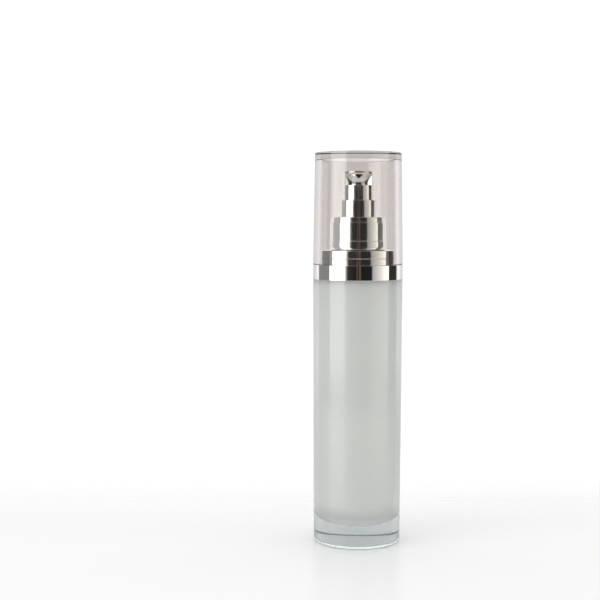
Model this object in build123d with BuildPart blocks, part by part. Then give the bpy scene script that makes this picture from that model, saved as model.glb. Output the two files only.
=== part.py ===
from build123d import *
import os
from math import radians, sqrt, tan

# Pump bottle for liquid foundation, 37 mm across and about 161 mm tall with its cap on.
#
# A thick clear outer bottle holds a pearl-white inner vessel with a follower piston, which rises as the
# vessel empties. A plated shoulder closes the outer bottle, and the pump stands on it: a spring-returned
# piston pump with a turning actuator, whose nozzle faces -Y. A clear overcap covers the pump.
#
# Millimetres. The origin is the centre of the base, on the surface the bottle stands on, and +Z is up.

os.makedirs("parts", exist_ok=True)

# ---------------------------------------------------------------- driving dimensions

# Overall
body_d = 37.0  # outer bottle, shoulder band and cap where they meet
bottle_h = 109.0
band_h = 6.0  # exposed band of the shoulder ring
cap_h = 45.7

# Fits and clearances
running_gap = 0.05  # radial, between a piston or a stem and its bore
fit_gap = 0.03  # radial, between fixed pieces that are pressed or glued together
stop_gap = 0.05  # axial, at a stop or a valve seat
head_gap = 0.20  # radial, between the actuator and the pump collar
over_travel_gap = 0.40  # axial, left between the core and the retainer at full stroke

# Outer bottle
bottle_draft = 0.30  # degrees
bottle_wall = 2.85
bottle_floor_t = 8.0
bottle_well_r = 9.5  # rounding at the bottom of the bore
bottle_foot_r = 1.2
rest_ring_w = 3.6
push_up_h = 0.5

# Inner vessel
vessel_gap = 0.05
vessel_wall = 1.1
vessel_floor_t = 1.2
vessel_mouth_wall = 0.75  # above the ledge that the lid rests on
vent_d = 1.5  # lets air in behind the follower, from the gap round the vessel

# Follower piston
follower_h = 8.5
follower_web_t = 1.2
follower_wall = 0.9
follower_lip_h = 1.6
follower_waist = 0.5  # how far the wall between the two lips stands back
follower_seat_h = 0.4  # above the end of the vessel's rounding

# Vessel lid and its neck
lid_plate_t = 1.5
lid_plug_h = 4.3
lid_plug_wall = 1.2
lid_sleeve_h = 4.0
lid_sleeve_wall = 1.1
neck_r = 9.0
neck_wall = 1.3
neck_bead_h = 1.2
neck_bead_out = 0.4
neck_bead_drop = 1.6  # from the neck's top to the bead
neck_below_shoulder = 3.2

# Shoulder ring
shoulder_plug_h = 6.5
shoulder_plug_wall = 1.6
shoulder_ledge_t = 1.4  # the floor of the band, over the plug
shoulder_wall = 1.5
shoulder_top_t = 1.2
seat_gap = 0.20  # radial, between the cap's mouth and the seat
seat_h = 5.9
seat_bead_h = 0.9
seat_bead_out = 0.12
seat_bead_up = 2.9
seat_edge_r = 0.3
cove_r = 1.2
cove_rim = 0.3  # how far the collar's foot overhangs the cove

# Cap
cap_wall = 2.55
cap_top_t = 2.9
cap_draft = 0.90  # degrees
cap_land_h = 6.5  # straight length of the mouth
cap_edge_r = 0.8
cap_mouth_chamfer = 0.25

# Pump
stroke = 5.5
pump_ring_w = 1.6  # radial, from the stem to the pump's bore, filled by the piston
housing_wall = 1.2
housing_flange_t = 1.2
housing_above_seat = 6.8
gasket_t = 0.5
inlet_r = 0.9
ball_r = 1.6
ball_lift = 0.8
ball_chamber_r = 2.1
cage_t = 1.4
cage_hole_r = 1.2
cage_slot_w = 0.9
cage_slot_r = 2.6
cage_slots = 3
spring_rest_l = 10.4
spring_wire_d = 0.55
spring_wall_gap = 0.725  # radial, between the coil and the pump's bore
spring_turns = 6.5
spring_end_gap = 0.03
valve_lost_motion = 0.8
pump_piston_h = 4.2
pump_piston_wall = 0.55
pump_piston_web_t = 1.4
pump_piston_lip = 0.2
rod_flange_gap = 0.55  # radial, between the flange and the pump's bore
rod_flange_t = 1.0
rod_guide_r = 1.4
rod_guide_l = 4.0
rod_rib_t = 0.7
rod_spigot_l = 3.6
stem_r = 2.4
stem_bore_r = 1.2
stem_collar_out = 0.6
stem_collar_t = 1.0
stem_port_h = 0.75
stem_port_w = 0.8
retainer_plug_l = 1.7
retainer_plug_wall = 0.65
retainer_stop_drop = 0.7
retainer_flange_t = 1.2
retainer_guide_h = 2.8
retainer_guide_wall = 1.3

# Closure ring, collars
closure_gap = 0.05
closure_wall = 0.95
closure_hook_h = 1.5
closure_below_neck = 4.7
closure_plate_t = 1.5
closure_lip_h = 2.8
closure_lip_out = 0.5  # how far the lip stands out over the shoulder's rim
closure_lip_wall = 1.55
closure_tube_wall = 1.15
closure_tube_h = 9.0
collar_h = 12.3
collar_wall = 0.55
collar_top_t = 2.6
collar_foot_h = 2.7
collar_foot_out = 0.2
collar_step_h = 2.0
collar_step_in = 0.4
collar_edge_r = 0.25
pump_collar_wall = 1.1
pump_collar_above = 7.0

# Actuator
head_d = 12.6
head_above = 11.7  # head's top over the pump collar at rest
head_wall = 0.95
head_skirt_in_collar = 8.4
head_edge_r = 0.35
core_top_below_scoop = 1.4
core_socket_l = 4.1
core_channel_r = 1.0
core_wall = 0.9
core_deck_t = 4.5
core_rim_drop = 4.0
scoop_bottom_below_top = 5.7
scoop_top_below_top = 1.1
scoop_depth = 2.3
scoop_half_angle = 57.0
nozzle_below_top = 2.1
nozzle_bore_r = 0.75
nozzle_orifice_r = 0.45
nozzle_l = 2.4
nozzle_recess = 0.5

# ---------------------------------------------------------------- places worked out from them

body_r = body_d / 2
bottle_foot_radius = body_r - bottle_h * tan(radians(bottle_draft))
bore_r = body_r - bottle_wall

band_top_z = bottle_h + band_h
shoulder_top_z = band_top_z + seat_h
collar_foot_z = shoulder_top_z + cove_r
collar_top_z = collar_foot_z + collar_h
pump_collar_top_z = collar_top_z + pump_collar_above
head_top_z = pump_collar_top_z + head_above

lid_top_z = bottle_h - shoulder_plug_h - stop_gap
lid_plate_z = lid_top_z - lid_plug_h
vessel_rim_z = bottle_h - stop_gap
vessel_r = bore_r - vessel_gap
vessel_bore_r = vessel_r - vessel_wall
vessel_mouth_r = vessel_r - vessel_mouth_wall
vessel_base_z = bottle_floor_t + vessel_gap
vessel_well_r = bottle_well_r - vessel_gap
vessel_inner_well_r = vessel_well_r - vessel_wall
follower_z = vessel_base_z + vessel_floor_t + vessel_inner_well_r + follower_seat_h
follower_r = vessel_bore_r - running_gap

neck_top_z = shoulder_top_z - neck_below_shoulder
pump_seat_z = neck_top_z + gasket_t
housing_flange_top_z = pump_seat_z + housing_flange_t
housing_top_z = pump_seat_z + housing_above_seat
pump_bore_r = stem_r + pump_ring_w
housing_r = pump_bore_r + housing_wall
retainer_stop_z = housing_top_z - retainer_stop_drop
stem_collar_z = retainer_stop_z - stop_gap - stem_collar_t
piston_top_z = stem_collar_z - stop_gap - valve_lost_motion
piston_z = piston_top_z - pump_piston_h
rod_flange_top_z = piston_z - stop_gap
spring_top_z = rod_flange_top_z - rod_flange_t
spring_z = spring_top_z - spring_rest_l
spring_mean_r = pump_bore_r - spring_wall_gap - spring_wire_d / 2
rod_flange_r = pump_bore_r - rod_flange_gap
stem_collar_r = stem_r + stem_collar_out
cage_z = spring_z - cage_t
ball_z = cage_z - stop_gap - ball_lift - ball_r
valve_cone_z = ball_z - (sqrt(2) * (ball_r + stop_gap) - inlet_r)
retainer_flange_top_z = housing_top_z + retainer_flange_t
retainer_top_z = retainer_flange_top_z + retainer_guide_h

head_r = head_d / 2
pump_collar_bore_r = head_r + head_gap
pump_collar_r = pump_collar_bore_r + pump_collar_wall
closure_tube_r = pump_collar_r + closure_gap
closure_bore_r = neck_r + neck_bead_out + closure_gap
closure_r = closure_bore_r + closure_wall
closure_lip_r = closure_r + closure_lip_out
collar_bore_r = closure_lip_r + closure_gap
collar_r = collar_bore_r + collar_wall
closure_plate_top_z = housing_flange_top_z + stop_gap + closure_plate_t
shoulder_hole_r = closure_r + closure_gap
seat_r = body_r - cap_wall - seat_gap

head_skirt_z = pump_collar_top_z - head_skirt_in_collar
scoop_z = head_top_z - scoop_bottom_below_top
scoop_top_z = head_top_z - scoop_top_below_top
nozzle_z = head_top_z - nozzle_below_top
core_top_z = scoop_z - core_top_below_scoop
core_z = retainer_top_z + stroke + over_travel_gap
stem_top_z = core_z + core_socket_l - stop_gap
core_r = head_r - head_wall - fit_gap
core_deck_z = core_top_z - core_deck_t
core_rim_z = core_deck_z - core_rim_drop

# The scoop is a cove turned about the head's axis: upright at its foot and leaning out to the lip.
scoop_h = scoop_top_z - scoop_z
scoop_r = (scoop_depth**2 + scoop_h**2) / (2 * scoop_depth)
scoop_centre_r = head_r - scoop_depth + scoop_r


def scoop_surface_r(z):
    """Radius of the scoop's surface at height z."""
    return scoop_centre_r - sqrt(scoop_r**2 - (z - scoop_z) ** 2)


# ---------------------------------------------------------------- outer bottle and vessel

with BuildPart() as outer_bottle:
    with BuildSketch(Plane.XZ):
        with BuildLine():
            Polyline(
                (0, 0),
                (bottle_foot_radius, 0),
                (body_r, bottle_h),
                (bore_r, bottle_h),
                (bore_r, bottle_floor_t + bottle_well_r),
            )
            RadiusArc(
                (bore_r, bottle_floor_t + bottle_well_r),
                (bore_r - bottle_well_r, bottle_floor_t),
                bottle_well_r,
            )
            Polyline((bore_r - bottle_well_r, bottle_floor_t), (0, bottle_floor_t), (0, 0))
        make_face()
    revolve(axis=Axis.Z)
    fillet(outer_bottle.faces().sort_by(Axis.Z)[0].edges(), bottle_foot_r)
    with BuildSketch(Plane.XY):
        Circle(bottle_foot_radius - bottle_foot_r - rest_ring_w)
    extrude(amount=push_up_h, mode=Mode.SUBTRACT)
outer_bottle.part.label = "outer_bottle"
export_step(outer_bottle.part, "parts/outer_bottle.step")

with BuildPart() as inner_vessel:
    inner_floor_z = vessel_base_z + vessel_floor_t
    with BuildSketch(Plane.XZ):
        with BuildLine():
            Polyline((0, inner_floor_z), (0, vessel_base_z), (vessel_r - vessel_well_r, vessel_base_z))
            RadiusArc(
                (vessel_r - vessel_well_r, vessel_base_z),
                (vessel_r, vessel_base_z + vessel_well_r),
                -vessel_well_r,
            )
            Polyline(
                (vessel_r, vessel_base_z + vessel_well_r),
                (vessel_r, vessel_rim_z),
                (vessel_mouth_r, vessel_rim_z),
                (vessel_mouth_r, lid_plate_z),
                (vessel_bore_r, lid_plate_z),
                (vessel_bore_r, inner_floor_z + vessel_inner_well_r),
            )
            RadiusArc(
                (vessel_bore_r, inner_floor_z + vessel_inner_well_r),
                (vessel_bore_r - vessel_inner_well_r, inner_floor_z),
                vessel_inner_well_r,
            )
            Line((vessel_bore_r - vessel_inner_well_r, inner_floor_z), (0, inner_floor_z))
        make_face()
    revolve(axis=Axis.Z)
    Hole(vent_d / 2)
inner_vessel.part.label = "inner_vessel"
export_step(inner_vessel.part, "parts/inner_vessel.step")

with BuildPart() as follower_piston:
    waist_r = follower_r - follower_waist
    skirt_bore_r = waist_r - follower_wall
    follower_top_z = follower_z + follower_h
    with BuildSketch(Plane.XZ):
        with BuildLine():
            Polyline(
                (0, follower_top_z),
                (waist_r, follower_top_z),
                (follower_r, follower_top_z - follower_waist),
                (follower_r, follower_top_z - follower_lip_h),
                (waist_r, follower_top_z - follower_lip_h - follower_waist),
                (waist_r, follower_z + follower_lip_h + follower_waist),
                (follower_r, follower_z + follower_lip_h),
                (follower_r, follower_z + follower_waist),
                (waist_r, follower_z),
                (skirt_bore_r, follower_z),
                (skirt_bore_r, follower_top_z - follower_web_t),
                (0, follower_top_z - follower_web_t),
                close=True,
            )
        make_face()
    revolve(axis=Axis.Z)
follower_piston.part.label = "follower_piston"
export_step(follower_piston.part, "parts/follower_piston.step")

# ---------------------------------------------------------------- lid, gasket and closure

with BuildPart() as vessel_lid:
    plug_r = vessel_mouth_r - fit_gap
    sleeve_bore_r = housing_r + fit_gap
    bead_top_z = neck_top_z - neck_bead_drop
    with BuildSketch(Plane.XZ):
        with BuildLine():
            Polyline(
                (sleeve_bore_r, lid_plate_z),
                (plug_r, lid_plate_z),
                (plug_r, lid_top_z),
                (plug_r - lid_plug_wall, lid_top_z),
                (plug_r - lid_plug_wall, lid_plate_z + lid_plate_t),
                (neck_r, lid_plate_z + lid_plate_t),
                (neck_r, bead_top_z - neck_bead_h),
                (neck_r + neck_bead_out, bead_top_z - neck_bead_h + neck_bead_out),
                (neck_r, bead_top_z),
                (neck_r, neck_top_z),
                (neck_r - neck_wall, neck_top_z),
                (neck_r - neck_wall, lid_plate_z + lid_plate_t),
                (sleeve_bore_r + lid_sleeve_wall, lid_plate_z + lid_plate_t),
                (sleeve_bore_r + lid_sleeve_wall, lid_plate_z + lid_plate_t + lid_sleeve_h),
                (sleeve_bore_r, lid_plate_z + lid_plate_t + lid_sleeve_h),
                close=True,
            )
        make_face()
    revolve(axis=Axis.Z)
vessel_lid.part.label = "vessel_lid"
export_step(vessel_lid.part, "parts/vessel_lid.step")

with BuildPart() as neck_gasket:
    with BuildSketch(Plane.XY.offset(neck_top_z)):
        Circle(neck_r)
        Circle(neck_r - neck_wall, mode=Mode.SUBTRACT)
    extrude(amount=gasket_t)
neck_gasket.part.label = "neck_gasket"
export_step(neck_gasket.part, "parts/neck_gasket.step")

with BuildPart() as closure_ring:
    closure_foot_z = neck_top_z - closure_below_neck
    closure_lip_z = collar_foot_z + stop_gap
    closure_tube_out_r = closure_tube_r + closure_tube_wall
    with BuildSketch(Plane.XZ):
        with BuildLine():
            Polyline(
                (neck_r + closure_gap, closure_foot_z),
                (closure_r, closure_foot_z),
                (closure_r, closure_lip_z),
                (closure_lip_r, closure_lip_z),
                (closure_lip_r, closure_lip_z + closure_lip_h),
                (closure_lip_r - closure_lip_wall, closure_lip_z + closure_lip_h),
                (closure_lip_r - closure_lip_wall, closure_plate_top_z),
                (closure_tube_out_r, closure_plate_top_z),
                (closure_tube_out_r, closure_plate_top_z + closure_tube_h),
                (closure_tube_r, closure_plate_top_z + closure_tube_h),
                (closure_tube_r, closure_plate_top_z),
                (housing_r + fit_gap, closure_plate_top_z),
                (housing_r + fit_gap, housing_flange_top_z + stop_gap),
                (closure_bore_r, housing_flange_top_z + stop_gap),
                (closure_bore_r, closure_foot_z + closure_hook_h + neck_bead_out),
                (neck_r + closure_gap, closure_foot_z + closure_hook_h),
                close=True,
            )
        make_face()
    revolve(axis=Axis.Z)
closure_ring.part.label = "closure_ring"
export_step(closure_ring.part, "parts/closure_ring.step")

# ---------------------------------------------------------------- plated shoulder and collars

with BuildPart() as shoulder_ring:
    plug_out_r = vessel_mouth_r - fit_gap
    plug_bore_r = plug_out_r - shoulder_plug_wall
    shoulder_bore_r = seat_r - shoulder_wall
    cove_top_r = collar_r - cove_rim
    with BuildSketch(Plane.XZ):
        with BuildLine():
            Polyline(
                (plug_bore_r, bottle_h - shoulder_plug_h),
                (plug_out_r, bottle_h - shoulder_plug_h),
                (plug_out_r, bottle_h),
                (body_r, bottle_h),
                (body_r, band_top_z),
                (seat_r, band_top_z),
                (seat_r, band_top_z + seat_bead_up - seat_bead_h / 2),
            )
            ThreePointArc(
                (seat_r, band_top_z + seat_bead_up - seat_bead_h / 2),
                (seat_r + seat_bead_out, band_top_z + seat_bead_up),
                (seat_r, band_top_z + seat_bead_up + seat_bead_h / 2),
            )
            Polyline(
                (seat_r, band_top_z + seat_bead_up + seat_bead_h / 2),
                (seat_r, shoulder_top_z),
                (cove_top_r + cove_r, shoulder_top_z),
            )
            RadiusArc(
                (cove_top_r + cove_r, shoulder_top_z),
                (cove_top_r, collar_foot_z),
                cove_r,
            )
            Polyline(
                (cove_top_r, collar_foot_z),
                (shoulder_hole_r, collar_foot_z),
                (shoulder_hole_r, shoulder_top_z - shoulder_top_t),
                (shoulder_bore_r, shoulder_top_z - shoulder_top_t),
                (shoulder_bore_r, bottle_h + shoulder_ledge_t),
                (plug_bore_r, bottle_h + shoulder_ledge_t),
                (plug_bore_r, bottle_h - shoulder_plug_h),
            )
        make_face()
    revolve(axis=Axis.Z)
    seat_rim = shoulder_ring.edges().filter_by(GeomType.CIRCLE).filter_by_position(
        Axis.Z, shoulder_top_z - stop_gap, shoulder_top_z + stop_gap
    )
    fillet(seat_rim.sort_by(SortBy.RADIUS)[-1], seat_edge_r)
shoulder_ring.part.label = "shoulder_ring"
export_step(shoulder_ring.part, "parts/shoulder_ring.step")

with BuildPart() as outer_collar:
    foot_top_z = collar_foot_z + collar_foot_h
    step_z = collar_top_z - collar_step_h
    collar_ceiling_z = collar_top_z - collar_top_t
    with BuildSketch(Plane.XZ):
        with BuildLine():
            Polyline(
                (collar_bore_r, collar_foot_z),
                (collar_r + collar_foot_out, collar_foot_z),
                (collar_r + collar_foot_out, foot_top_z - collar_foot_out),
                (collar_r, foot_top_z),
                (collar_r, step_z),
                (collar_r - collar_step_in, step_z),
                (collar_r - collar_step_in, collar_top_z),
                (pump_collar_r + fit_gap, collar_top_z),
                (pump_collar_r + fit_gap, collar_ceiling_z),
                (collar_bore_r, collar_ceiling_z),
                close=True,
            )
        make_face()
    revolve(axis=Axis.Z)
    collar_rims = outer_collar.edges().filter_by(GeomType.CIRCLE)
    step_rim = collar_rims.filter_by_position(Axis.Z, step_z - stop_gap, step_z + stop_gap)
    top_rim = collar_rims.filter_by_position(Axis.Z, collar_top_z - stop_gap, collar_top_z + stop_gap)
    fillet(step_rim.sort_by(SortBy.RADIUS)[-1:] + top_rim.sort_by(SortBy.RADIUS)[-1:], collar_edge_r)
outer_collar.part.label = "outer_collar"
export_step(outer_collar.part, "parts/outer_collar.step")

with BuildPart() as pump_collar:
    with BuildSketch(Plane.XY.offset(retainer_flange_top_z)):
        Circle(pump_collar_r)
        Circle(pump_collar_bore_r, mode=Mode.SUBTRACT)
    extrude(amount=pump_collar_top_z - retainer_flange_top_z)
    fillet(pump_collar.faces().sort_by(Axis.Z)[-1].edges(), collar_edge_r)
pump_collar.part.label = "pump_collar"
export_step(pump_collar.part, "parts/pump_collar.step")

# ---------------------------------------------------------------- pump

with BuildPart() as pump_housing:
    chamber_cone_top_z = valve_cone_z + ball_chamber_r - inlet_r
    with BuildSketch(Plane.XZ):
        with BuildLine():
            Polyline(
                (inlet_r, lid_plate_z),
                (housing_r, lid_plate_z),
                (housing_r, pump_seat_z),
                (neck_r, pump_seat_z),
                (neck_r, housing_flange_top_z),
                (housing_r, housing_flange_top_z),
                (housing_r, housing_top_z),
                (pump_bore_r, housing_top_z),
                (pump_bore_r, cage_z),
                (ball_chamber_r, cage_z),
                (ball_chamber_r, chamber_cone_top_z),
                (inlet_r, valve_cone_z),
                close=True,
            )
        make_face()
    revolve(axis=Axis.Z)
pump_housing.part.label = "pump_housing"
export_step(pump_housing.part, "parts/pump_housing.step")

with BuildPart() as inlet_ball:
    with BuildSketch(Plane.XZ):
        with BuildLine():
            ThreePointArc((0, ball_z - ball_r), (ball_r, ball_z), (0, ball_z + ball_r))
            Line((0, ball_z + ball_r), (0, ball_z - ball_r))
        make_face()
    revolve(axis=Axis.Z)
inlet_ball.part.label = "inlet_ball"
export_step(inlet_ball.part, "parts/inlet_ball.step")

with BuildPart() as ball_cage:
    with BuildSketch(Plane.XY.offset(cage_z)):
        Circle(pump_bore_r - fit_gap)
        Circle(cage_hole_r, mode=Mode.SUBTRACT)
        with PolarLocations(0, cage_slots):
            Rectangle(cage_slot_r, cage_slot_w, align=(Align.MIN, Align.CENTER), mode=Mode.SUBTRACT)
    extrude(amount=cage_t)
ball_cage.part.label = "ball_cage"
export_step(ball_cage.part, "parts/ball_cage.step")

with BuildPart() as return_spring:
    coil_l = spring_rest_l - spring_wire_d - 2 * spring_end_gap
    coil_z = spring_z + spring_wire_d / 2 + spring_end_gap
    with BuildLine():
        coil = Helix(coil_l / spring_turns, coil_l, spring_mean_r, center=(0, 0, coil_z))
    with BuildSketch(Plane(origin=coil @ 0, z_dir=coil % 0)):
        Circle(spring_wire_d / 2)
    sweep(is_frenet=True)
return_spring.part.label = "return_spring"
export_step(return_spring.part, "parts/return_spring.step")

with BuildPart() as valve_rod:
    with BuildSketch(Plane.XY.offset(spring_top_z)):
        Circle(rod_flange_r)
    extrude(amount=rod_flange_t)
    with BuildSketch(Plane.XY.offset(spring_top_z)):
        Circle(rod_guide_r)
    extrude(amount=-rod_guide_l)
    fillet(valve_rod.faces().sort_by(Axis.Z)[0].edges(), rod_guide_r / 3)
    with BuildSketch(Plane.XY.offset(rod_flange_top_z)):
        Rectangle(2 * stem_bore_r, rod_rib_t)
        Rectangle(rod_rib_t, 2 * stem_bore_r)
        Circle(stem_bore_r - fit_gap, mode=Mode.INTERSECT)
    extrude(amount=rod_spigot_l)
valve_rod.part.label = "valve_rod"
export_step(valve_rod.part, "parts/valve_rod.step")

with BuildPart() as pump_piston:
    lip_r = pump_bore_r - running_gap
    piston_bore_r = stem_r + running_gap
    groove_h = (pump_piston_h - pump_piston_web_t) / 2
    sleeve_r = piston_bore_r + pump_piston_wall
    waist_z = piston_z + groove_h
    with BuildSketch(Plane.XZ):
        with BuildLine():
            Polyline(
                (piston_bore_r, piston_z),
                (sleeve_r, piston_z),
                (sleeve_r, waist_z),
                (lip_r - pump_piston_wall, piston_z + stop_gap),
                (lip_r, piston_z + stop_gap),
                (lip_r - pump_piston_lip, waist_z),
                (lip_r - pump_piston_lip, piston_top_z - groove_h),
                (lip_r, piston_top_z),
                (lip_r - pump_piston_wall, piston_top_z),
                (sleeve_r, piston_top_z - groove_h),
                (sleeve_r, piston_top_z),
                (piston_bore_r, piston_top_z),
                close=True,
            )
        make_face()
    revolve(axis=Axis.Z)
pump_piston.part.label = "pump_piston"
export_step(pump_piston.part, "parts/pump_piston.step")

with BuildPart() as stem:
    with BuildSketch(Plane.XY.offset(rod_flange_top_z)):
        Circle(stem_r)
    extrude(amount=stem_top_z - rod_flange_top_z)
    with BuildSketch(Plane.XY.offset(stem_collar_z)):
        Circle(stem_collar_r)
    extrude(amount=stem_collar_t)
    with BuildSketch(Plane.XY.offset(rod_flange_top_z)):
        Circle(stem_bore_r)
    extrude(amount=stem_top_z - rod_flange_top_z, mode=Mode.SUBTRACT)
    with BuildSketch(Plane.XY.offset(rod_flange_top_z)):
        with Locations(Location((0, 0), 45)):
            Rectangle(2 * stem_collar_r, stem_port_w)
            Rectangle(stem_port_w, 2 * stem_collar_r)
    extrude(amount=stem_port_h, mode=Mode.SUBTRACT)
stem.part.label = "stem"
export_step(stem.part, "parts/stem.step")

with BuildPart() as housing_retainer:
    retainer_plug_r = pump_bore_r - fit_gap
    retainer_bore_r = stem_r + running_gap
    with BuildSketch(Plane.XZ):
        with BuildLine():
            Polyline(
                (retainer_bore_r, retainer_stop_z),
                (retainer_plug_r - retainer_plug_wall, retainer_stop_z),
                (retainer_plug_r - retainer_plug_wall, housing_top_z - retainer_plug_l),
                (retainer_plug_r, housing_top_z - retainer_plug_l),
                (retainer_plug_r, housing_top_z),
                (pump_collar_r, housing_top_z),
                (pump_collar_r, retainer_flange_top_z),
                (retainer_bore_r + retainer_guide_wall, retainer_flange_top_z),
                (retainer_bore_r + retainer_guide_wall, retainer_top_z),
                (retainer_bore_r, retainer_top_z),
                close=True,
            )
        make_face()
    revolve(axis=Axis.Z)
housing_retainer.part.label = "housing_retainer"
export_step(housing_retainer.part, "parts/housing_retainer.step")

# ---------------------------------------------------------------- actuator

with BuildPart() as actuator_core:
    socket_r = stem_r + running_gap
    socket_top_z = core_z + core_socket_l
    with BuildSketch(Plane.XZ):
        with BuildLine():
            Polyline(
                (socket_r, core_z),
                (socket_r + core_wall, core_z),
                (socket_r + core_wall, core_deck_z),
                (core_r - core_wall, core_deck_z),
                (core_r - core_wall, core_rim_z),
                (core_r, core_rim_z),
                (core_r, core_top_z),
                (core_channel_r, core_top_z),
                (core_channel_r, socket_top_z),
                (socket_r, socket_top_z),
                close=True,
            )
        make_face()
    revolve(axis=Axis.Z)
actuator_core.part.label = "actuator_core"
export_step(actuator_core.part, "parts/actuator_core.step")

with BuildPart() as scoop_cutter:
    with BuildSketch(Plane.XZ.rotated((0, 0, -90 - scoop_half_angle))):
        with BuildLine():
            Line((head_r + head_wall, scoop_z), (head_r - scoop_depth, scoop_z))
            RadiusArc((head_r - scoop_depth, scoop_z), (head_r, scoop_top_z), scoop_r)
            Polyline(
                (head_r, scoop_top_z), (head_r + head_wall, scoop_top_z), (head_r + head_wall, scoop_z)
            )
        make_face()
    revolve(axis=Axis.Z, revolution_arc=2 * scoop_half_angle)

with BuildPart() as actuator_shell:
    with BuildSketch(Plane.XY.offset(head_skirt_z)):
        Circle(head_r)
    extrude(amount=head_top_z - head_skirt_z)
    fillet(actuator_shell.faces().sort_by(Axis.Z)[-1].edges(), head_edge_r)
    with BuildSketch(Plane.XY.offset(head_skirt_z)):
        Circle(head_r - head_wall)
    extrude(amount=core_top_z - head_skirt_z, mode=Mode.SUBTRACT)
    with BuildSketch(Plane.XY.offset(core_top_z)):
        Circle(core_channel_r)
    extrude(amount=nozzle_z + nozzle_bore_r - core_top_z, mode=Mode.SUBTRACT)
    add(scoop_cutter.part, mode=Mode.SUBTRACT)
    with BuildSketch(Plane.XZ):
        with Locations((0, nozzle_z)):
            Circle(nozzle_bore_r)
    extrude(amount=head_r, mode=Mode.SUBTRACT)
actuator_shell.part.label = "actuator_shell"
export_step(actuator_shell.part, "parts/actuator_shell.step")

with BuildPart() as nozzle_insert:
    nozzle_face_y = scoop_surface_r(nozzle_z) - nozzle_recess
    with BuildSketch(Plane.XZ.offset(nozzle_face_y)):
        with Locations((0, nozzle_z)):
            Circle(nozzle_bore_r - fit_gap)
            Circle(nozzle_orifice_r, mode=Mode.SUBTRACT)
    extrude(amount=-nozzle_l)
nozzle_insert.part.label = "nozzle_insert"
export_step(nozzle_insert.part, "parts/nozzle_insert.step")

# ---------------------------------------------------------------- overcap

with BuildPart() as overcap:
    mouth_z = band_top_z + stop_gap
    mouth_r = body_r - cap_wall
    cap_top_z = band_top_z + cap_h
    cap_ceiling_z = cap_top_z - cap_top_t
    cap_top_r = body_r - cap_h * tan(radians(cap_draft))
    ceiling_r = mouth_r - (cap_ceiling_z - mouth_z - cap_land_h) * tan(radians(cap_draft))
    with BuildSketch(Plane.XZ):
        with BuildLine():
            Polyline(
                (0, cap_top_z),
                (cap_top_r, cap_top_z),
                (body_r, mouth_z),
                (mouth_r, mouth_z),
                (mouth_r, mouth_z + cap_land_h),
                (ceiling_r, cap_ceiling_z),
                (0, cap_ceiling_z),
                close=True,
            )
        make_face()
    revolve(axis=Axis.Z)
    fillet(overcap.faces().sort_by(Axis.Z)[-1].edges(), cap_edge_r)
    ceiling_rim = overcap.edges().filter_by(GeomType.CIRCLE).filter_by_position(
        Axis.Z, cap_ceiling_z - stop_gap, cap_ceiling_z + stop_gap
    )
    fillet(ceiling_rim, cap_edge_r)
    mouth_rim = overcap.faces().sort_by(Axis.Z)[0].edges().sort_by(SortBy.RADIUS)
    chamfer(mouth_rim[0], cap_mouth_chamfer)
overcap.part.label = "overcap"
export_step(overcap.part, "parts/overcap.step")
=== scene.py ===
from math import cos, pi, radians, sin, sqrt, tan

import bmesh
import bpy
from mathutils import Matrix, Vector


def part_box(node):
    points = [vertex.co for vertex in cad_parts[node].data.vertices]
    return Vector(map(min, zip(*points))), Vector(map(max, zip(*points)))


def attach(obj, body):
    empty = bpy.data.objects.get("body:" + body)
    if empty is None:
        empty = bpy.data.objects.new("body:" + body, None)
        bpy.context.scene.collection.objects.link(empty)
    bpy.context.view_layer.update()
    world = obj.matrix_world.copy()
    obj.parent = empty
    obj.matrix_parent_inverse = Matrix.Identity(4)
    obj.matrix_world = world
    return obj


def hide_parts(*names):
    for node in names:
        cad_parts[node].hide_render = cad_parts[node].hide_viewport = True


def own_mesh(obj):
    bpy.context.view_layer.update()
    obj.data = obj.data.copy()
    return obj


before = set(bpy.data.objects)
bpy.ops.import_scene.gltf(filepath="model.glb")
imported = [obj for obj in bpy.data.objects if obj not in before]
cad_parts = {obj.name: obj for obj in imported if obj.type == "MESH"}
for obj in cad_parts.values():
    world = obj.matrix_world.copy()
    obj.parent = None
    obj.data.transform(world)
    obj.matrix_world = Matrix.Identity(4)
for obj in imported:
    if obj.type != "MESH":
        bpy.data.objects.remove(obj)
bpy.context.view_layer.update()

# ---------------------------------------------------------------- camera
# A long lens half a metre away, a little to the left of the bottle and tipped down slightly, so that
# the rims show as shallow curves.

mm = 0.001

bpy.ops.object.camera_add(
    location=(-23.9 * mm, -491.4 * mm, 132.4 * mm),
    rotation=(radians(86.25), radians(-0.10), 0),
)
camera = bpy.context.object
camera.data.sensor_width = 36
camera.data.lens = 71.4
camera.data.clip_start = 10 * mm
bpy.context.scene.camera = camera
bpy.context.scene.view_settings.view_transform = "Standard"

# ---------------------------------------------------------------- studio light
# A white tent with a tall bright panel on each side of the camera. The camera's own dark gap lies
# between them, and it is what draws the dark stripes down the plated pieces.


def node(tree, kind, inputs=None, **settings):
    """Adds a shader node. Each input is a value, or another node's output to link."""
    made = tree.nodes.new("ShaderNode" + kind)
    for name, value in settings.items():
        setattr(made, name, value)
    for name, value in (inputs or {}).items():
        if isinstance(value, bpy.types.NodeSocket):
            tree.links.new(value, made.inputs[name])
        else:
            made.inputs[name].default_value = value
    return made


def ramp(tree, factor, stops):
    """Adds a colour ramp with stops of (place, colour)."""
    made = node(tree, "ValToRGB", {"Fac": factor})
    elements = made.color_ramp.elements
    elements.remove(elements[1])
    elements[0].position, elements[0].color = stops[0][0], (*stops[0][1], 1)
    for place, colour in stops[1:]:
        elements.new(place).color = (*colour, 1)
    return made.outputs["Color"]


def grey(value):
    return (value, value, value)


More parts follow.
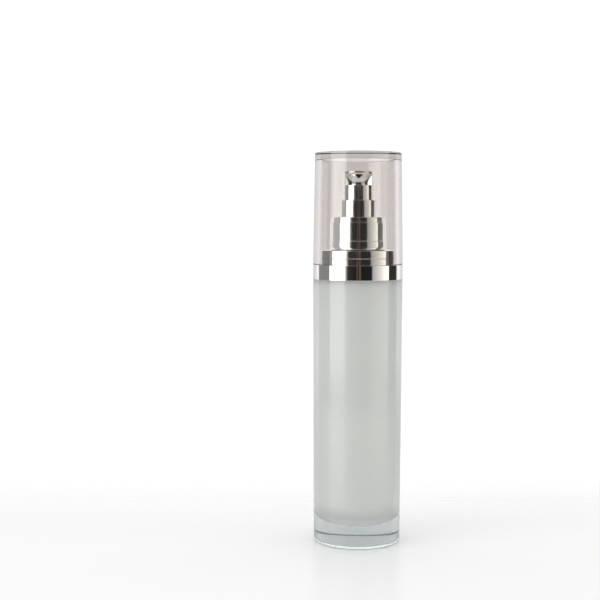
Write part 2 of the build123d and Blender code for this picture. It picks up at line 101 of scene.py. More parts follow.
# Brightness round the tent, by degrees from the camera's side towards the bottle's right
around = [
    (-180, grey(0.82)), (-150, grey(0.78)), (-140, grey(0.9)), (-131, grey(1.15)),
    (-122, grey(1.15)), (-120, grey(0.30)), (-90, grey(0.29)), (-80, grey(0.32)), (-78, grey(2.8)),
    (-37, grey(2.6)), (-35, grey(0.9)), (-29, (0.050, 0.046, 0.042)), (-8, grey(0.015)),
    (-4, (0.130, 0.075, 0.060)), (0, grey(0.02)), (3, (0.20, 0.14, 0.11)), (6, grey(0.015)),
    (33, grey(0.02)), (36, grey(0.50)), (44, grey(0.68)), (58, (0.98, 0.96, 0.88)),
    (70, (1.40, 1.37, 1.26)), (82, (1.85, 1.80, 1.66)), (84, grey(0.035)), (112, grey(0.035)),
    (119, grey(1.2)), (131, grey(1.2)), (140, grey(0.9)), (150, grey(0.78)), (180, grey(0.82)),
]
# The same below the height of the floor, which hides the panels' feet
around_low = [
    (-180, grey(0.7)), (-122, grey(0.6)), (-120, grey(0.2)), (-82, grey(0.2)), (-79, grey(0.62)),
    (-36, grey(0.62)), (-29, grey(0.05)), (33, grey(0.02)), (36, grey(0.5)), (40, grey(0.6)),
    (82, grey(0.6)), (84, grey(0.06)), (116, grey(0.06)), (120, grey(0.6)), (180, grey(0.7)),
]
overhead = grey(0.6)
backdrop = grey(1.05)
through = (0.77, 0.74, 0.73)
inner_softness = 0.45  # share of the light turned inside a clear piece that is the backdrop's
rim_light = grey(1.15)
behind_from = radians(50)  # from straight across the bottle, towards its back
fill = grey(1.64)
fill_share = 0.7

tent = bpy.data.worlds.new("light_tent")
tent.use_nodes = True
tent.node_tree.nodes.clear()
bpy.context.scene.world = tent

direction = node(tent.node_tree, "TexCoord").outputs["Generated"]
axes = node(tent.node_tree, "SeparateXYZ", {"Vector": direction}).outputs
towards_camera = node(tent.node_tree, "Math", {0: axes["Y"], 1: -1.0}, operation="MULTIPLY")
azimuth = node(
    tent.node_tree, "Math", {0: axes["X"], 1: towards_camera.outputs["Value"]}, operation="ARCTAN2"
)
turn = node(
    tent.node_tree, "MapRange", {"Value": azimuth.outputs["Value"], "From Min": -pi, "From Max": pi}
).outputs["Result"]
sides = ramp(tent.node_tree, turn, [((a + 180) / 360, c) for a, c in around])
feet = ramp(tent.node_tree, turn, [((a + 180) / 360, c) for a, c in around_low])


def over_elevation(start, end):
    """0 where the direction is at the first elevation in degrees, and 1 at the second."""
    return node(
        tent.node_tree, "MapRange",
        {"Value": axes["Z"], "From Min": sin(radians(start)), "From Max": sin(radians(end))},
    ).outputs["Result"]


def mixed(tree, factor, a, b):
    return node(tree, "Mix", {"Factor": factor, "A": a, "B": b}, data_type="RGBA").outputs["Result"]


walls = mixed(tent.node_tree, over_elevation(-7, -9), sides, feet)
walls = mixed(tent.node_tree, over_elevation(50, 75), walls, (*overhead, 1))


def compared(a, b, kind):
    """1 where a is LESS_THAN or GREATER_THAN b."""
    return node(tent.node_tree, "Math", {0: a, 1: b}, operation=kind).outputs["Value"]


def both_of(a, b):
    return node(tent.node_tree, "Math", {0: a, 1: b}, operation="MULTIPLY").outputs["Value"]


# Light that came out of a clear piece after a turn inside it is soft, and the plating under the cap
# has a brighter wall behind it, which draws its pale rims
path = node(tent.node_tree, "LightPath").outputs
mirrored = compared(path["Glossy Depth"], 0.5, "GREATER_THAN")
in_and_out = both_of(
    compared(path["Transmission Depth"], 1.5, "GREATER_THAN"),
    compared(path["Transmission Depth"], 2.5, "LESS_THAN"),
)
turned_inside = both_of(both_of(mirrored, in_and_out), inner_softness)
walls = mixed(tent.node_tree, turned_inside, walls, (*through, 1))
under_cap = both_of(mirrored, compared(path["Transmission Depth"], 2.5, "GREATER_THAN"))
behind = compared(axes["Y"], sin(behind_from), "GREATER_THAN")
walls = mixed(tent.node_tree, both_of(under_cap, behind), walls, (*rim_light, 1))

# The camera sees a white backdrop, and a greyer one straight through the clear pieces
bounces = node(
    tent.node_tree, "Math", {0: path["Glossy Depth"], 1: path["Diffuse Depth"]}, operation="ADD"
)
seen_through = both_of(path["Is Transmission Ray"], compared(bounces.outputs["Value"], 0.5, "LESS_THAN"))
tent_light = mixed(tent.node_tree, seen_through, walls, (*through, 1))
tent_light = mixed(tent.node_tree, path["Is Camera Ray"], tent_light, (*backdrop, 1))
# Matt surfaces are lit by the whole room as well
scattered = compared(path["Diffuse Depth"], 0.5, "GREATER_THAN")
filled = mixed(tent.node_tree, fill_share, walls, (*fill, 1))
tent_light = mixed(tent.node_tree, scattered, tent_light, filled)
background = node(tent.node_tree, "Background", {"Color": tent_light})
node(tent.node_tree, "OutputWorld", {"Surface": background.outputs["Background"]})

# ---------------------------------------------------------------- floor
# A sheet of pale satin acrylic that fades into the white of the tent away from the bottle. A painted
# glow, a disc of emission hidden under the bottle, lights the bottle's base from beneath.

floor_r = 420 * mm
floor_fade_from = 300 * mm
back_fade_from, back_fade_to = -20 * mm, 150 * mm
painted_glow_r, painted_glow_end_r = 12.5 * mm, 16 * mm  # hidden under the bottle


def deselect_all():
    for item in bpy.context.selected_objects:
        item.select_set(False)


def new_material(name):
    """A material with its tree, its Principled shader and its output."""
    made = bpy.data.materials.new(name)
    made.use_nodes = True
    tree = made.node_tree
    return made, tree, tree.nodes["Principled BSDF"], tree.nodes["Material Output"]


deselect_all()
bpy.ops.mesh.primitive_circle_add(vertices=128, radius=floor_r, fill_type="NGON")
floor = bpy.context.object
floor.name = floor.data.name = "floor"
floor_paint, tree, shader, output = new_material("pale_floor")
spot = node(tree, "TexCoord").outputs["Object"]
out_from_bottle = node(tree, "VectorMath", {0: spot}, operation="LENGTH").outputs["Value"]
shader.inputs["Base Color"].default_value = (0.69, 0.69, 0.69, 1)
shader.inputs["Roughness"].default_value = 0.20
shader.inputs["Emission Color"].default_value = (0.96, 0.98, 1, 1)
# Painted glow: the floor emits brightly in the disc under the bottle and only faintly beyond it
painted_glow = node(
    tree, "MapRange",
    {
        "Value": out_from_bottle, "From Min": painted_glow_r, "From Max": painted_glow_end_r,
        "To Min": 0.75, "To Max": 0.08,
    },
)
tree.links.new(painted_glow.outputs["Result"], shader.inputs["Emission Strength"])
fade_out = node(
    tree, "MapRange", {"Value": out_from_bottle, "From Min": floor_fade_from, "From Max": floor_r}
)
depth = node(tree, "SeparateXYZ", {"Vector": spot}).outputs["Y"]
fade_back = node(
    tree, "MapRange", {"Value": depth, "From Min": back_fade_from, "From Max": back_fade_to},
    interpolation_type="SMOOTHSTEP",
)
faded = node(
    tree, "Math", {0: fade_out.outputs["Result"], 1: fade_back.outputs["Result"]}, operation="MAXIMUM"
)
clear = node(tree, "BsdfTransparent")
fade = node(
    tree, "MixShader",
    {"Fac": faded.outputs["Value"], 1: shader.outputs["BSDF"], 2: clear.outputs["BSDF"]},
)
tree.links.new(fade.outputs["Shader"], output.inputs["Surface"])
floor.data.materials.append(floor_paint)

# ---------------------------------------------------------------- outer bottle
# Thick injection-moulded acrylic, clear with a faint cool tint that shows in its heavy base. A
# shallow push-up under it leaves a ring to stand on.


def turned(name, outline, body, closed=True, turns=160):
    """Extrudes a vertex along an outline of (radius, height, rounding), rounds the corners that say
    how much, and spins it round the bottle's axis. An outline that isn't closed ends on the axis."""
    deselect_all()
    bpy.ops.mesh.primitive_plane_add(size=mm)
    piece = bpy.context.object
    piece.name = piece.data.name = name
    bpy.ops.object.mode_set(mode="EDIT")
    bpy.ops.mesh.select_mode(type="VERT")
    bpy.ops.mesh.merge(type="CENTER")
    bpy.ops.transform.translate(value=(outline[0][0], 0, outline[0][1]))
    for (r, z, *_), (next_r, next_z, *_) in zip(outline, outline[1:]):
        bpy.ops.mesh.extrude_region_move(
            TRANSFORM_OT_translate={"value": (next_r - r, 0, next_z - z)}
        )
    if closed:
        pick_corners(piece, [outline[0], outline[-1]])
        bpy.ops.mesh.edge_face_add()
    for r, z, *rounding in outline:
        if rounding:
            pick_corners(piece, [(r, z)])
            arc_steps = 5 if rounding[0] < 1 * mm else 14
            bpy.ops.mesh.bevel(offset=rounding[0], segments=arc_steps, affect="VERTICES")
    bpy.ops.mesh.select_all(action="SELECT")
    bpy.ops.mesh.spin(steps=turns, angle=2 * pi, center=(0, 0, 0), axis=(0, 0, 1))
    tidy_mesh()
    smooth(piece)
    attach(piece, body)
    return piece


def pick_corners(piece, corners):
    """Selects the outline's vertices nearest to these places, and nothing else."""
    bpy.ops.mesh.select_all(action="DESELECT")
    drawn = bmesh.from_edit_mesh(piece.data)
    for r, z, *_ in corners:
        nearest = min(drawn.verts, key=lambda v: (v.co.x - r) ** 2 + (v.co.z - z) ** 2)
        nearest.select = True
    bmesh.update_edit_mesh(piece.data)


def tidy_mesh():
    """Closes seams and poles, turns the faces outwards, and leaves edit mode."""
    bpy.ops.mesh.select_all(action="SELECT")
    bpy.ops.mesh.remove_doubles(threshold=0.001 * mm)
    bpy.ops.mesh.normals_make_consistent(inside=False)
    bpy.ops.object.mode_set(mode="OBJECT")


def smooth(piece, angle=35):
    """Shades a piece smooth, with its flats kept flat beside their roundings."""
    deselect_all()
    piece.select_set(True)
    bpy.context.view_layer.objects.active = piece
    bpy.ops.object.shade_smooth_by_angle(angle=radians(angle))
    bpy.ops.object.modifier_add(type="WEIGHTED_NORMAL")
    piece.modifiers[-1].keep_sharp = True
    bpy.ops.object.modifier_apply(modifier=piece.modifiers[-1].name)


def painted(piece, paint, slot, *nodes):
    """Gives a piece its material and hides the nodes that it stands for. The slot is not used."""
    piece.data.materials.append(paint)
    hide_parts(*nodes)


def new_group(name, inputs, outputs):
    """A node group with float inputs of (name, value), and outputs of (name, kind)."""
    group = bpy.data.node_groups.new(name, "ShaderNodeTree")
    for label, value in inputs:
        socket = group.interface.new_socket(label, in_out="INPUT", socket_type="NodeSocketFloat")
        socket.default_value = value
    for label, kind in outputs:
        group.interface.new_socket(label, in_out="OUTPUT", socket_type="NodeSocket" + kind)
    return group, group.nodes.new("NodeGroupInput"), group.nodes.new("NodeGroupOutput")


# Polish that is a little uneven: cloudy patches where it was handled, over very fine wipe marks
polish, polish_in, polish_out = new_group(
    "polish", [("Smooth", 0.01), ("Worn", 0.05), ("Size", 90.0)], [("Roughness", "Float")]
)
spot = node(polish, "TexCoord").outputs["Object"]
clouds = node(polish, "TexNoise", {"Vector": spot, "Scale": polish_in.outputs["Size"], "Detail": 3.0})
stretch = node(polish, "Mapping", {"Vector": spot, "Scale": (1.0, 1.0, 0.08)})
wipes = node(polish, "TexNoise", {"Vector": stretch.outputs["Vector"], "Scale": 1600.0, "Detail": 2.0})
both = node(
    polish, "Math", {0: clouds.outputs["Fac"], 1: wipes.outputs["Fac"]}, operation="MULTIPLY"
)
patches = node(
    polish, "MapRange",
    {
        "Value": both.outputs["Value"], "From Min": 0.18, "From Max": 0.42,
        "To Min": polish_in.outputs["Smooth"], "To Max": polish_in.outputs["Worn"],
    },
)
polish.links.new(patches.outputs["Result"], polish_out.inputs["Roughness"])


def use_group(tree, group, **values):
    made = node(tree, "Group", node_tree=group)
    for name, value in values.items():
        made.inputs[name].default_value = value
    return made.outputs


acrylic, tree, shader, output = new_material("clear_acrylic")
shader.inputs["Base Color"].default_value = (0.98, 0.99, 0.99, 1)
shader.inputs["Transmission Weight"].default_value = 1
shader.inputs["IOR"].default_value = 1.49
# The underside is left as moulded, with a fine satin that blurs what lies under the bottle
spot = node(tree, "TexCoord").outputs["Object"]
height = node(tree, "SeparateXYZ", {"Vector": spot}).outputs["Z"]
satin = node(
    tree, "MapRange",
    {"Value": height, "From Min": 0.6 * mm, "From Max": 0.9 * mm, "To Min": 0.30, "To Max": 0.0},
).outputs["Result"]
gloss = use_group(tree, polish, Smooth=0.0, Worn=0.03, Size=70.0)["Roughness"]
roughest = node(tree, "Math", {0: satin, 1: gloss}, operation="MAXIMUM")
tree.links.new(roughest.outputs["Value"], shader.inputs["Roughness"])
tint = node(tree, "VolumeAbsorption", {"Color": (0.50, 0.578, 0.603, 1), "Density": 26.0})
tree.links.new(tint.outputs["Volume"], output.inputs["Volume"])

body_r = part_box("outer_bottle")[1].x
bottle_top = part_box("outer_bottle")[1].z
bottle_draft = tan(radians(0.30))
bottle_wall = 2.85 * mm
foot_r = body_r - bottle_top * bottle_draft
bore_r = body_r - bottle_wall
bottle_floor = 8 * mm
bore_rounding = 9.5 * mm
foot_rounding = 0.7 * mm
rest_ring_w = 4.8 * mm
push_up_r = foot_r - rest_ring_w
push_up_h = 0.5 * mm

outer_bottle = turned(
    "clear_bottle",
    [
        (0, push_up_h),
        (push_up_r, push_up_h, 0.3 * mm),
        (push_up_r, 0, 0.15 * mm),
        (foot_r, 0, foot_rounding),
        (body_r, bottle_top, 0.15 * mm),
        (bore_r, bottle_top, 0.15 * mm),
        (bore_r, bottle_floor, bore_rounding),
        (0, bottle_floor),
    ],
    "bottle",
    closed=False,
    turns=192,
)
painted(outer_bottle, acrylic, "clear_acrylic", "outer_bottle")

# ---------------------------------------------------------------- inner vessel
# Pearl-white moulded polypropylene with a rounded bottom, bonded into the acrylic, so that it is
# drawn a hair into it. It holds the foundation, and a small hole in its floor lets air in.

pearl, tree, shader, output = new_material("pearl_plastic")
spot = node(tree, "TexCoord").outputs["Object"]
flow = node(tree, "TexNoise", {"Vector": spot, "Scale": 45.0, "Detail": 4.0, "Distortion": 0.6})
flakes = node(tree, "TexVoronoi", {"Vector": spot, "Scale": 5200.0})
shimmer = node(tree, "SeparateColor", {"Color": flakes.outputs["Color"]})
pearl_tones = ramp(
    tree, flow.outputs["Fac"], [(0.3, (0.905, 0.905, 0.870)), (0.7, (0.93, 0.925, 0.885))]
)
pearl_flecks = node(
    tree, "MapRange", {"Value": shimmer.outputs["Red"], "To Min": 0.97, "To Max": 1.03}
)
pearl_colour = node(
    tree, "VectorMath", {0: pearl_tones, "Scale": pearl_flecks.outputs["Result"]}, operation="SCALE"
)
tree.links.new(pearl_colour.outputs["Vector"], shader.inputs["Base Color"])
pearl_gloss = node(
    tree, "MapRange", {"Value": shimmer.outputs["Green"], "To Min": 0.34, "To Max": 0.46}
)
tree.links.new(pearl_gloss.outputs["Result"], shader.inputs["Roughness"])
shader.inputs["Metallic"].default_value = 0.15
shader.inputs["Coat Weight"].default_value = 0.28
shader.inputs["Coat Roughness"].default_value = 0.18

bond = 0.01 * mm
vent_r = 0.75 * mm
vessel_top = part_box("inner_vessel")[1].z
vessel_r = bore_r + bond
vessel_base = bottle_floor - bond
vessel_bore_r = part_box("follower_piston")[1].x + 0.05 * mm
vessel_mouth_r = vessel_bore_r + 0.35 * mm
vessel_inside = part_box("inner_vessel")[0].z + 1.2 * mm
lid_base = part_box("vessel_lid")[0].z

inner_vessel = turned(
    "pearl_vessel",
    [
        (vent_r, vessel_base),
        (vessel_r, vessel_base, bore_rounding),
        (vessel_r, vessel_top),
        (vessel_mouth_r, vessel_top),
        (vessel_mouth_r, lid_base),
        (vessel_bore_r, lid_base),
        (vessel_bore_r, vessel_inside, bore_rounding - (vessel_r - vessel_bore_r)),
        (vent_r, vessel_inside),
    ],
    "bottle",
)
painted(inner_vessel, pearl, "pearl_plastic", "inner_vessel")

# ---------------------------------------------------------------- shoulder ring
# Injection-moulded plastic with bright plating. Its skirt is pressed into the vessel's mouth, its band
# lies flush with the bottle and the cap, and the cap pushes over the seat above and its low bead.

plating, tree, shader, output = new_material("bright_plating")
shader.inputs["Base Color"].default_value = (0.76, 0.755, 0.735, 1)
shader.inputs["Metallic"].default_value = 1
tree.links.new(
    use_group(tree, polish, Smooth=0.02, Worn=0.05, Size=160.0)["Roughness"], shader.inputs["Roughness"]
)
spot = node(tree, "TexCoord").outputs["Object"]
sink_marks = node(tree, "TexNoise", {"Vector": spot, "Scale": 260.0, "Detail": 1.0})
waviness = node(
    tree, "Bump", {"Height": sink_marks.outputs["Fac"], "Strength": 1.0, "Distance": 0.004 * mm}
)
tree.links.new(waviness.outputs["Normal"], shader.inputs["Normal"])

shoulder_low, shoulder_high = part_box("shoulder_ring")
collar_low, collar_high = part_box("outer_collar")
cap_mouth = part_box("overcap")[0].z
band_top = cap_mouth - 0.05 * mm
cap_wall = 2.55 * mm
seat_r = body_r - cap_wall - 0.20 * mm
cove_r = 1.2 * mm
seat_top = shoulder_high.z - cove_r
cove_top_r = collar_high.x - 0.5 * mm
shoulder_wall = 1.5 * mm
shoulder_top_t = 1.2 * mm
shoulder_hole_r = cove_top_r - 0.75 * mm
press_fit = 0.03 * mm
plug_r = vessel_mouth_r - press_fit
plug_wall = 1.6 * mm
ledge_top = bottle_top + 1.4 * mm
bead = band_top + 2.9 * mm
bead_half = 0.45 * mm
bead_out = 0.12 * mm

shoulder_ring = turned(
    "plated_shoulder",
    [
        (plug_r - plug_wall, shoulder_low.z, 0.3 * mm),
        (plug_r, shoulder_low.z, 0.5 * mm),
        (plug_r, bottle_top),
        (body_r, bottle_top, 0.12 * mm),
        (body_r, band_top, 0.12 * mm),
        (seat_r, band_top),
        (seat_r, bead - bead_half),
        (seat_r + bead_out, bead, 0.2 * mm),
        (seat_r, bead + bead_half),
        (seat_r, seat_top, 0.3 * mm),
        (cove_top_r + cove_r, seat_top),
        (cove_top_r, seat_top, 0.99 * cove_r),
        (cove_top_r, shoulder_high.z),
        (shoulder_hole_r, shoulder_high.z),
        (shoulder_hole_r, seat_top - shoulder_top_t),
        (seat_r - shoulder_wall, seat_top - shoulder_top_t, 0.6 * mm),
        (seat_r - shoulder_wall, ledge_top),
        (plug_r - plug_wall, ledge_top, 0.3 * mm),
    ],
    "bottle",
    turns=192,
)
painted(shoulder_ring, plating, "plated_silver", "shoulder_ring")

# ---------------------------------------------------------------- outer collar
# A plated cap over the closure, with a slightly wider foot ring and a step round its top.

foot_out = 0.2 * mm
collar_r = collar_high.x - foot_out
collar_bore_r = collar_r - 0.55 * mm
collar_ceiling = collar_high.z - 2.6 * mm
foot_ring_top = collar_low.z + 2.7 * mm
collar_step = collar_high.z - 2.0 * mm
step_r = collar_r - 0.4 * mm
pump_collar_low, pump_collar_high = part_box("pump_collar")
pump_collar_r = pump_collar_high.x

outer_collar = turned(
    "plated_collar",
    [
        (collar_bore_r, collar_low.z),
        (collar_r + foot_out, collar_low.z, 0.15 * mm),
        (collar_r + foot_out, foot_ring_top - foot_out, 0.1 * mm),
        (collar_r, foot_ring_top, 0.05 * mm),
        (collar_r, collar_step, 0.25 * mm),
        (step_r, collar_step),
        (step_r, collar_high.z, 0.25 * mm),
        (pump_collar_r + press_fit, collar_high.z, 0.1 * mm),
        (pump_collar_r + press_fit, collar_ceiling),
        (collar_bore_r, collar_ceiling, 0.4 * mm),
    ],
    "bottle",
)
painted(outer_collar, plating, "plated_silver", "outer_collar")

# ---------------------------------------------------------------- pump collar
# A plated sleeve pressed into the closure. The actuator runs up and down inside it.

actuator_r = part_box("actuator_shell")[1].x
pump_collar_bore_r = actuator_r + 0.20 * mm

pump_collar = turned(
    "plated_pump_collar",
    [
        (pump_collar_bore_r, pump_collar_low.z, 0.1 * mm),
        (pump_collar_r, pump_collar_low.z, 0.2 * mm),
        (pump_collar_r, pump_collar_high.z, 0.25 * mm),
        (pump_collar_bore_r, pump_collar_high.z, 0.25 * mm),
    ],
    "bottle",
)
painted(pump_collar, plating, "plated_silver", "pump_collar")

# ---------------------------------------------------------------- actuator shell
# The plated cap that a finger presses. A cove with square ends is cut round its front under the
# rim, and the nozzle opens in the cove.

shell_low, shell_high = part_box("actuator_shell")
shell_wall = 0.95 * mm
scoop_low = shell_high.z - 5.7 * mm
scoop_high = shell_high.z - 1.1 * mm
scoop_depth = 2.3 * mm
scoop_half_angle = radians(57)
nozzle_height = shell_high.z - 2.1 * mm
nozzle_bore_r = 0.75 * mm
core_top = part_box("actuator_core")[1].z
channel_r = 1.0 * mm


def cut(piece, tool):
    """Cuts the tool's shape out of the piece, and removes the tool."""
    deselect_all()
    bpy.context.view_layer.objects.active = piece
    piece.select_set(True)
    bpy.ops.object.modifier_add(type="BOOLEAN")
    piece.modifiers[-1].operation = "DIFFERENCE"
    piece.modifiers[-1].solver = "EXACT"
    piece.modifiers[-1].object = tool
    bpy.ops.object.modifier_apply(modifier=piece.modifiers[-1].name)
    bpy.data.objects.remove(tool)


def cove_cutter():
    """The cove's profile, drawn beyond the shell's surface and spun round its front."""
    rise = scoop_high - scoop_low
    sweep_r = (scoop_depth**2 + rise**2) / (2 * scoop_depth)
    centre_r = actuator_r - scoop_depth + sweep_r
    arc_steps = 16
    outline = [(actuator_r + shell_wall, scoop_low)]
    for step in range(arc_steps + 1):
        up = rise * step / arc_steps
        outline.append((centre_r - sqrt(sweep_r**2 - up**2), scoop_low + up))
    outline.append((actuator_r + shell_wall, scoop_high))
    deselect_all()
    bpy.ops.mesh.primitive_plane_add(size=mm)
    cutter = bpy.context.object
    bpy.ops.object.mode_set(mode="EDIT")
    bpy.ops.mesh.select_mode(type="VERT")
    bpy.ops.mesh.merge(type="CENTER")
    turn_x, turn_y = sin(scoop_half_angle), -sqrt(1 - sin(scoop_half_angle) ** 2)
    bpy.ops.transform.translate(value=(outline[0][0] * turn_x, outline[0][0] * turn_y, outline[0][1]))
    for (r, z), (next_r, next_z) in zip(outline, outline[1:]):
        bpy.ops.mesh.extrude_region_move(
            TRANSFORM_OT_translate={
                "value": ((next_r - r) * turn_x, (next_r - r) * turn_y, next_z - z)
            }
        )
    bpy.ops.mesh.select_all(action="SELECT")
    bpy.ops.mesh.edge_face_add()
    bpy.ops.mesh.spin(steps=64, angle=2 * scoop_half_angle, center=(0, 0, 0), axis=(0, 0, 1))
    return cutter


scoop_tool = cove_cutter()
tidy_mesh()

actuator_shell = turned(
    "plated_actuator",
    [
        (actuator_r - shell_wall, shell_low.z, 0.1 * mm),
        (actuator_r, shell_low.z, 0.2 * mm),
        (actuator_r, shell_high.z, 0.35 * mm),
        (0, shell_high.z),
        (0, nozzle_height + nozzle_bore_r),
        (channel_r, nozzle_height + nozzle_bore_r),
        (channel_r, core_top),
        (actuator_r - shell_wall, core_top, 0.3 * mm),
    ],
    "actuator",
)
cut(actuator_shell, scoop_tool)
deselect_all()
bpy.ops.mesh.primitive_cylinder_add(
    vertices=48, radius=nozzle_bore_r, depth=actuator_r,
    location=(0, -actuator_r / 2, nozzle_height), rotation=(radians(90), 0, 0),
)
cut(actuator_shell, bpy.context.object)
smooth(actuator_shell)
painted(actuator_shell, plating, "plated_silver", "actuator_shell")

# ---------------------------------------------------------------- overcap
# Clear styrene with a faint warm tint, moulded with a thick wall and a flat top. Its mouth pushes over
# the shoulder's seat.

styrene, tree, shader, output = new_material("tinted_styrene")
shader.inputs["Base Color"].default_value = (0.90, 0.878, 0.866, 1)
shader.inputs["Transmission Weight"].default_value = 1
shader.inputs["IOR"].default_value = 1.58
tree.links.new(
    use_group(tree, polish, Smooth=0.0, Worn=0.02, Size=60.0)["Roughness"], shader.inputs["Roughness"]
)
tint = node(tree, "VolumeAbsorption", {"Color": (0.50, 0.50, 0.48, 1), "Density": 12.0})
tree.links.new(tint.outputs["Volume"], output.inputs["Volume"])

cap_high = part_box("overcap")[1].z
cap_draft = tan(radians(0.90))
cap_top_r = body_r - (cap_high - band_top) * cap_draft
cap_mouth_r = body_r - cap_wall
cap_land_top = cap_mouth + 6.5 * mm
cap_top_t = 2.9 * mm
cap_ceiling = cap_high - cap_top_t

overcap = turned(
    "clear_cap",
    [
        (0, cap_high),
        (cap_top_r, cap_high, 0.4 * mm),
        (body_r, cap_mouth, 0.15 * mm),
        (cap_mouth_r, cap_mouth, 0.25 * mm),
        (cap_mouth_r, cap_land_top),
        (cap_mouth_r - (cap_ceiling - cap_land_top) * cap_draft, cap_ceiling, 0.3 * mm),
        (0, cap_ceiling),
    ],
    "cap",
    closed=False,
    turns=192,
)
painted(overcap, styrene, "tinted_cap", "overcap")

# ---------------------------------------------------------------- follower piston
# Plain white polyethylene with a fine moulded grain. It scrapes the vessel clean as it rises, and only
# its material is set here, because the solid already has its real shape.


def moulded(name, dark, light, smooth_at, rough_at, grain_depth=0.006 * mm):
    """A moulded plastic with cloudy flow tones, uneven gloss and a fine sparked grain."""
    made, tree, shader, output = new_material(name)
    spot = node(tree, "TexCoord").outputs["Object"]
    flow = node(tree, "TexNoise", {"Vector": spot, "Scale": 110.0, "Detail": 4.0, "Distortion": 0.8})
    tones = ramp(tree, flow.outputs["Fac"], [(0.32, dark), (0.68, light)])
    tree.links.new(tones, shader.inputs["Base Color"])
    grain = node(tree, "TexNoise", {"Vector": spot, "Scale": 2600.0, "Detail": 3.0})
    gloss = node(
        tree, "MapRange",
        {
            "Value": grain.outputs["Fac"], "From Min": 0.35, "From Max": 0.65,
            "To Min": smooth_at, "To Max": rough_at,
        },
    )
    tree.links.new(gloss.outputs["Result"], shader.inputs["Roughness"])
    bump = node(
        tree, "Bump", {"Height": grain.outputs["Fac"], "Strength": 0.6, "Distance": grain_depth}
    )
    tree.links.new(bump.outputs["Normal"], shader.inputs["Normal"])
    shader.inputs["Specular IOR Level"].default_value = 0.45
    return made, shader


def finished(name, paint):
    """Gives a CAD node that shows as it is its material."""
    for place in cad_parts[name].material_slots:
        place.material = paint


white_plastic, shader = moulded("white_plastic", (0.80, 0.80, 0.78), (0.86, 0.86, 0.84), 0.40, 0.56)
finished("follower_piston", white_plastic)

# ---------------------------------------------------------------- vessel lid
# The vessel's plug and its beaded neck in one white moulding, pressed into its mouth. The neck holds
# the pump, and the sleeve under it steadies the pump's housing.

finished("vessel_lid", white_plastic)

# ---------------------------------------------------------------- neck gasket
# A die-cut ring of white foamed polyethylene, pinched between the neck and the pump's flange. Its cut
# faces show the foam's small cells, with painted shade in their hollows.

foam, tree, shader, output = new_material("foam")
spot = node(tree, "TexCoord").outputs["Object"]
cells = node(tree, "TexVoronoi", {"Vector": spot, "Scale": 3400.0, "Randomness": 0.9})
# Painted shade: each cell's hollow, where the bump sinks it, is coloured darker than its rim
cell_hollow_shade = ramp(tree, cells.outputs["Distance"], [(0.1, (0.70, 0.70, 0.68)), (0.6, (0.86, 0.86, 0.84))])
tree.links.new(cell_hollow_shade, shader.inputs["Base Color"])
shader.inputs["Roughness"].default_value = 0.78
pits = node(
    tree, "Bump", {"Height": cells.outputs["Distance"], "Strength": 0.8, "Distance": 0.03 * mm}
)
tree.links.new(pits.outputs["Normal"], shader.inputs["Normal"])
finished("neck_gasket", foam)

# ---------------------------------------------------------------- closure ring
# White polypropylene. Its hook snaps under the neck's bead, its lip holds the plated collar and its
# tube holds the pump collar.

finished("closure_ring", white_plastic)

# ---------------------------------------------------------------- pump housing
# Natural polypropylene, unpigmented and a little milky, so that light sinks into it. The piston runs
# in its bore and the inlet valve's cone is at its foot.

natural_plastic, shader = moulded(
    "natural_plastic", (0.74, 0.75, 0.73), (0.82, 0.82, 0.80), 0.24, 0.38, grain_depth=0.003 * mm
)
shader.inputs["Subsurface Weight"].default_value = 0.35
shader.inputs["Subsurface Scale"].default_value = 1.5 * mm
finished("pump_housing", natural_plastic)

# ---------------------------------------------------------------- inlet ball
# A ground stainless ball, which lifts off its cone to let the pump fill. Its stainless steel, with fine
# lapping marks, serves the spring too.

steel, tree, shader, output = new_material("stainless_steel")
spot = node(tree, "TexCoord").outputs["Object"]
stain = node(tree, "TexNoise", {"Vector": spot, "Scale": 420.0, "Detail": 3.0})
steel_tones = ramp(tree, stain.outputs["Fac"], [(0.3, (0.50, 0.50, 0.51)), (0.7, (0.62, 0.61, 0.60))])
tree.links.new(steel_tones, shader.inputs["Base Color"])
shader.inputs["Metallic"].default_value = 1
tree.links.new(
    use_group(tree, polish, Smooth=0.12, Worn=0.30, Size=900.0)["Roughness"], shader.inputs["Roughness"]
)
finished("inlet_ball", steel)

# ---------------------------------------------------------------- ball cage
# A slotted disc of natural polypropylene pressed in over the ball. It stops the ball's lift, lets the
# product past through its slots, and carries the spring.

finished("ball_cage", natural_plastic)

# ---------------------------------------------------------------- return spring
# Drawn stainless wire with a closed turn at each end, so that it stands square on the cage and under the
# rod's flange. It shortens as the pump is pressed.

wire_r = 0.275 * mm
coil_r = 3.0 * mm
coil_turns = 6.5
closed_turns = 0.85
steps_a_turn = 28
rod_guide_l = 4.0 * mm
end_gap = 0.03 * mm
spring_low, spring_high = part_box("ball_cage")[1].z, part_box("valve_rod")[0].z + rod_guide_l
wire_start, wire_end = spring_low + wire_r + end_gap, spring_high - wire_r - end_gap
closed_pitch = 2 * wire_r + 0.02 * mm
open_pitch = (wire_end - wire_start - 2 * closed_turns * closed_pitch) / (coil_turns - 2 * closed_turns)


def wire_place(step):
    """Where the wire's centre line is after this many steps."""
    turns = step / steps_a_turn
    low = min(turns, closed_turns)
    high = max(turns - (coil_turns - closed_turns), 0)
    rise = (low + high) * closed_pitch + (turns - low - high) * open_pitch
    angle = 2 * pi * turns
    return coil_r * cos(angle), coil_r * sin(angle), wire_start + rise


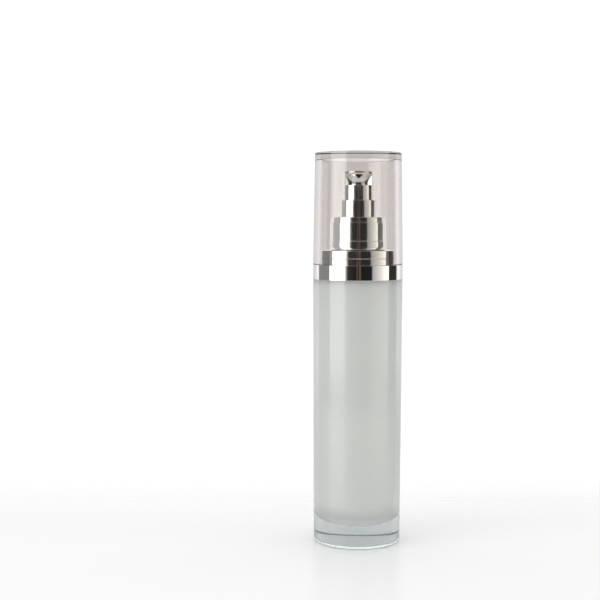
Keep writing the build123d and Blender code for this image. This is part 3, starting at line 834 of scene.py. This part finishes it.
places = [wire_place(step) for step in range(round(coil_turns * steps_a_turn) + 1)]
deselect_all()
bpy.ops.mesh.primitive_plane_add(size=mm)
spring = bpy.context.object
spring.name = spring.data.name = "coil_spring"
bpy.ops.object.mode_set(mode="EDIT")
bpy.ops.mesh.select_mode(type="VERT")
bpy.ops.mesh.merge(type="CENTER")
bpy.ops.transform.translate(value=places[0])
for here, there in zip(places, places[1:]):
    step = [after - before for before, after in zip(here, there)]
    bpy.ops.mesh.extrude_region_move(TRANSFORM_OT_translate={"value": step})
bpy.ops.object.mode_set(mode="OBJECT")
bpy.ops.object.convert(target="CURVE")
spring.data.bevel_depth = wire_r
spring.data.bevel_resolution = 4
spring.data.use_fill_caps = True
bpy.ops.object.convert(target="MESH")
bpy.ops.object.mode_set(mode="EDIT")
tidy_mesh()
smooth(spring, angle=50)
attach(spring, "bottle")
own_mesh(spring)
painted(spring, steel, "steel", "return_spring")

# ---------------------------------------------------------------- valve rod
# Natural polypropylene. Its flange shuts the stem's ports against the piston and takes the spring's
# push, and its ribbed spigot plugs into the stem.

finished("valve_rod", natural_plastic)

# ---------------------------------------------------------------- pump piston
# Soft natural polyethylene with a thin lip at each end, which wipes the housing's bore. It slides a
# little way on the stem to open the ports.

soft_plastic, shader = moulded(
    "soft_plastic", (0.72, 0.74, 0.76), (0.80, 0.81, 0.82), 0.46, 0.60, grain_depth=0.004 * mm
)
finished("pump_piston", soft_plastic)

# ---------------------------------------------------------------- stem
# A tube of natural polypropylene from the piston to the actuator. Ports are cut across its foot, and
# its collar stops against the retainer.

finished("stem", natural_plastic)

# ---------------------------------------------------------------- housing retainer
# Natural polypropylene, pressed into the top of the housing. It guides the stem and carries the plated
# pump collar on its rim.

finished("housing_retainer", natural_plastic)

# ---------------------------------------------------------------- actuator core
# White polypropylene pressed up into the plated shell. Its socket grips the stem, and a channel leads
# up to the nozzle.

finished("actuator_core", white_plastic)

# ---------------------------------------------------------------- nozzle insert
# Black acetal pressed into the shell, with a small orifice. It is the dark dot in the cove.

black_plastic, shader = moulded(
    "black_plastic", (0.012, 0.012, 0.013), (0.022, 0.022, 0.023), 0.30, 0.45, grain_depth=0.002 * mm
)
finished("nozzle_insert", black_plastic)
